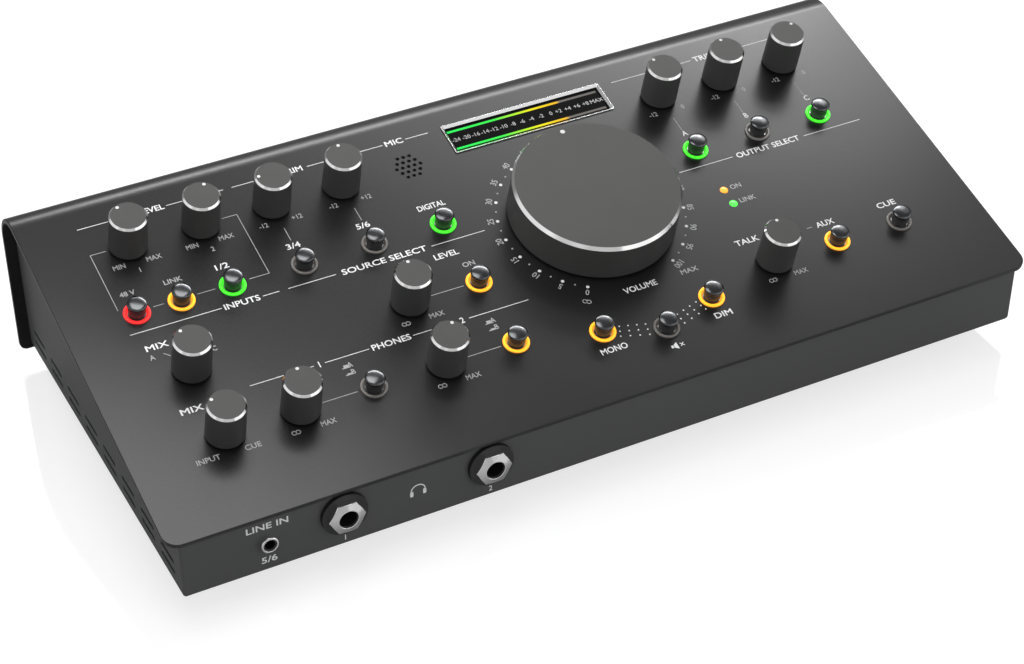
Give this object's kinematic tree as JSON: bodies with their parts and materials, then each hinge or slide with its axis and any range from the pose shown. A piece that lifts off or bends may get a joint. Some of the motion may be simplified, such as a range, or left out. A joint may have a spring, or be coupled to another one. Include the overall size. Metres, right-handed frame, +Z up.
{
  "type": "studio monitor controller",
  "caption": "Desktop studio monitor controller: a sloping metal console with a large volume knob, small knobs, lit keys, a level meter and phones jacks.",
  "frame": {"origin": "on the table, under the middle of the footprint, nuts of the sockets included", "axes": "+X to the user's right along the console, +Y from the user to the rear wall, +Z up"},
  "size_m": [0.331, 0.159, 0.0799],
  "materials": {
    "cover_paint": "satin",
    "chassis_paint": "satin",
    "plated_steel": "satin",
    "screw_black": "satin",
    "foot_rubber": "matte",
    "circuit_board": "satin",
    "black_plastic": "matte",
    "knob_plastic": "satin",
    "key_plastic": "satin",
    "red_lens": "gloss",
    "amber_lens": "gloss",
    "green_lens": "gloss",
    "clear_lens": "gloss",
    "window_tint": "gloss",
    "nut_chrome": "polished"
  },
  "bodies": {
    "console": {"top_cover": "cover_paint", "chassis": "chassis_paint", "bottom_plate": "chassis_paint", "rubber_feet": "foot_rubber", "case_screws": "screw_black", "panel_board": "circuit_board", "board_posts": "plated_steel", "rear_board": "circuit_board", "potentiometers": "black_plastic", "volume_potentiometer": "plated_steel", "key_switches": "plated_steel", "red_light_rings": "red_lens", "amber_light_rings": "amber_lens", "green_light_rings": "green_lens", "clear_light_rings": "clear_lens", "meter_bezel": "black_plastic", "meter_window": "window_tint", "meter_strips": "amber_lens", "microphone": "plated_steel", "indicator_lamps": "clear_lens", "phones_jacks": "black_plastic", "line_jacks": "black_plastic", "jack_nuts": "nut_chrome", "aux_jack": "black_plastic", "combo_inputs": "black_plastic", "usb_socket": "plated_steel", "dc_inlet": "black_plastic", "power_switch": "black_plastic"},
    "input_1_gain_knob_body": {"input_1_gain_knob": "knob_plastic"},
    "input_2_gain_knob_body": {"input_2_gain_knob": "knob_plastic"},
    "line_3_4_trim_knob_body": {"line_3_4_trim_knob": "knob_plastic"},
    "line_5_6_trim_knob_body": {"line_5_6_trim_knob": "knob_plastic"},
    "monitor_a_trim_knob_body": {"monitor_a_trim_knob": "knob_plastic"},
    "monitor_b_trim_knob_body": {"monitor_b_trim_knob": "knob_plastic"},
    "monitor_c_trim_knob_body": {"monitor_c_trim_knob": "knob_plastic"},
    "cue_source_knob_body": {"cue_source_knob": "knob_plastic"},
    "direct_mix_knob_body": {"direct_mix_knob": "knob_plastic"},
    "phones_1_level_knob_body": {"phones_1_level_knob": "knob_plastic"},
    "studio_level_knob_body": {"studio_level_knob": "knob_plastic"},
    "phones_2_level_knob_body": {"phones_2_level_knob": "knob_plastic"},
    "talkback_level_knob_body": {"talkback_level_knob": "knob_plastic"},
    "volume_knob_body": {"volume_knob": "knob_plastic"},
    "phantom_power_key_body": {"phantom_power_key": "key_plastic"},
    "stereo_link_key_body": {"stereo_link_key": "key_plastic"},
    "input_1_2_key_body": {"input_1_2_key": "key_plastic"},
    "input_3_4_key_body": {"input_3_4_key": "key_plastic"},
    "input_5_6_key_body": {"input_5_6_key": "key_plastic"},
    "usb_key_body": {"usb_key": "key_plastic"},
    "studio_on_key_body": {"studio_on_key": "key_plastic"},
    "phones_1_key_body": {"phones_1_key": "key_plastic"},
    "phones_2_key_body": {"phones_2_key": "key_plastic"},
    "mono_key_body": {"mono_key": "key_plastic"},
    "mute_key_body": {"mute_key": "key_plastic"},
    "dim_key_body": {"dim_key": "key_plastic"},
    "monitor_a_key_body": {"monitor_a_key": "key_plastic"},
    "monitor_b_key_body": {"monitor_b_key": "key_plastic"},
    "monitor_c_key_body": {"monitor_c_key": "key_plastic"},
    "two_track_key_body": {"two_track_key": "key_plastic"},
    "cue_key_body": {"cue_key": "key_plastic"},
    "power_button_body": {"power_button": "black_plastic"}
  },
  "joints": [
    {"name": "input_1_gain_turn", "type": "hinge", "parent": "console", "child": "input_1_gain_knob_body", "pos_m": [-0.1314, 0.04058, 0.06297], "axis": [0, -0.2554, 0.9668], "range_deg": [-175, 125]},
    {"name": "input_2_gain_turn", "type": "hinge", "parent": "console", "child": "input_2_gain_knob_body", "pos_m": [-0.1048, 0.04058, 0.06297], "axis": [0, -0.2554, 0.9668], "range_deg": [-119, 181]},
    {"name": "line_3_4_trim_turn", "type": "hinge", "parent": "console", "child": "line_3_4_trim_knob_body", "pos_m": [-0.0782, 0.04058, 0.06297], "axis": [0, -0.2554, 0.9668], "range_deg": [-226, 74]},
    {"name": "line_5_6_trim_turn", "type": "hinge", "parent": "console", "child": "line_5_6_trim_knob_body", "pos_m": [-0.0516, 0.04058, 0.06297], "axis": [0, -0.2554, 0.9668], "range_deg": [-148, 152]},
    {"name": "monitor_a_trim_turn", "type": "hinge", "parent": "console", "child": "monitor_a_trim_knob_body", "pos_m": [0.0782, 0.04058, 0.06297], "axis": [0, -0.2554, 0.9668], "range_deg": [-178, 122]},
    {"name": "monitor_b_trim_turn", "type": "hinge", "parent": "console", "child": "monitor_b_trim_knob_body", "pos_m": [0.1048, 0.04058, 0.06297], "axis": [0, -0.2554, 0.9668], "range_deg": [-148, 152]},
    {"name": "monitor_c_trim_turn", "type": "hinge", "parent": "console", "child": "monitor_c_trim_knob_body", "pos_m": [0.1314, 0.04058, 0.06297], "axis": [0, -0.2554, 0.9668], "range_deg": [-105, 195]},
    {"name": "cue_source_turn", "type": "hinge", "parent": "console", "child": "cue_source_knob_body", "pos_m": [-0.1314, -0.01502, 0.04828], "axis": [0, -0.2554, 0.9668], "range_deg": [-88, 32]},
    {"name": "direct_mix_turn", "type": "hinge", "parent": "console", "child": "direct_mix_knob_body", "pos_m": [-0.1314, -0.04281, 0.04094], "axis": [0, -0.2554, 0.9668], "range_deg": [-197, 103]},
    {"name": "phones_1_level_turn", "type": "hinge", "parent": "console", "child": "phones_1_level_knob_body", "pos_m": [-0.1048, -0.04281, 0.04094], "axis": [0, -0.2554, 0.9668], "range_deg": [-148, 152]},
    {"name": "studio_level_turn", "type": "hinge", "parent": "console", "child": "studio_level_knob_body", "pos_m": [-0.0516, -0.01502, 0.04828], "axis": [0, -0.2554, 0.9668], "range_deg": [-147, 153]},
    {"name": "phones_2_level_turn", "type": "hinge", "parent": "console", "child": "phones_2_level_knob_body", "pos_m": [-0.0516, -0.04281, 0.04094], "axis": [0, -0.2554, 0.9668], "range_deg": [-119, 181]},
    {"name": "talkback_level_turn", "type": "hinge", "parent": "console", "child": "talkback_level_knob_body", "pos_m": [0.0782, -0.04281, 0.04094], "axis": [0, -0.2554, 0.9668], "range_deg": [-147, 153]},
    {"name": "volume_turn", "type": "hinge", "parent": "console", "child": "volume_knob_body", "pos_m": [0.0268, -0.00143, 0.05187], "axis": [0, -0.2554, 0.9668], "range_deg": [-150, 150]},
    {"name": "phantom_power_press", "type": "slide", "parent": "console", "child": "phantom_power_key_body", "axis": [0, 0.2554, -0.9668], "range_m": [0, 0.001], "stiffness_N_per_m": 300},
    {"name": "stereo_link_press", "type": "slide", "parent": "console", "child": "stereo_link_key_body", "axis": [0, 0.2554, -0.9668], "range_m": [0, 0.001], "stiffness_N_per_m": 300},
    {"name": "input_1_2_press", "type": "slide", "parent": "console", "child": "input_1_2_key_body", "axis": [0, 0.2554, -0.9668], "range_m": [0, 0.001], "stiffness_N_per_m": 300},
    {"name": "input_3_4_press", "type": "slide", "parent": "console", "child": "input_3_4_key_body", "axis": [0, 0.2554, -0.9668], "range_m": [0, 0.001], "stiffness_N_per_m": 300},
    {"name": "input_5_6_press", "type": "slide", "parent": "console", "child": "input_5_6_key_body", "axis": [0, 0.2554, -0.9668], "range_m": [0, 0.001], "stiffness_N_per_m": 300},
    {"name": "usb_press", "type": "slide", "parent": "console", "child": "usb_key_body", "axis": [0, 0.2554, -0.9668], "range_m": [0, 0.001], "stiffness_N_per_m": 300},
    {"name": "studio_on_press", "type": "slide", "parent": "console", "child": "studio_on_key_body", "axis": [0, 0.2554, -0.9668], "range_m": [0, 0.001], "stiffness_N_per_m": 300},
    {"name": "phones_1_press", "type": "slide", "parent": "console", "child": "phones_1_key_body", "axis": [0, 0.2554, -0.9668], "range_m": [0, 0.001], "stiffness_N_per_m": 300},
    {"name": "phones_2_press", "type": "slide", "parent": "console", "child": "phones_2_key_body", "axis": [0, 0.2554, -0.9668], "range_m": [0, 0.001], "stiffness_N_per_m": 300},
    {"name": "mono_press", "type": "slide", "parent": "console", "child": "mono_key_body", "axis": [0, 0.2554, -0.9668], "range_m": [0, 0.001], "stiffness_N_per_m": 300},
    {"name": "mute_press", "type": "slide", "parent": "console", "child": "mute_key_body", "axis": [0, 0.2554, -0.9668], "range_m": [0, 0.001], "stiffness_N_per_m": 300},
    {"name": "dim_press", "type": "slide", "parent": "console", "child": "dim_key_body", "axis": [0, 0.2554, -0.9668], "range_m": [0, 0.001], "stiffness_N_per_m": 300},
    {"name": "monitor_a_press", "type": "slide", "parent": "console", "child": "monitor_a_key_body", "axis": [0, 0.2554, -0.9668], "range_m": [0, 0.001], "stiffness_N_per_m": 300},
    {"name": "monitor_b_press", "type": "slide", "parent": "console", "child": "monitor_b_key_body", "axis": [0, 0.2554, -0.9668], "range_m": [0, 0.001], "stiffness_N_per_m": 300},
    {"name": "monitor_c_press", "type": "slide", "parent": "console", "child": "monitor_c_key_body", "axis": [0, 0.2554, -0.9668], "range_m": [0, 0.001], "stiffness_N_per_m": 300},
    {"name": "two_track_press", "type": "slide", "parent": "console", "child": "two_track_key_body", "axis": [0, 0.2554, -0.9668], "range_m": [0, 0.001], "stiffness_N_per_m": 300},
    {"name": "cue_press", "type": "slide", "parent": "console", "child": "cue_key_body", "axis": [0, 0.2554, -0.9668], "range_m": [0, 0.001], "stiffness_N_per_m": 300},
    {"name": "power_press", "type": "slide", "parent": "console", "child": "power_button_body", "axis": [0, -1, 0], "range_m": [0, 0.0015], "stiffness_N_per_m": 400}
  ]
}
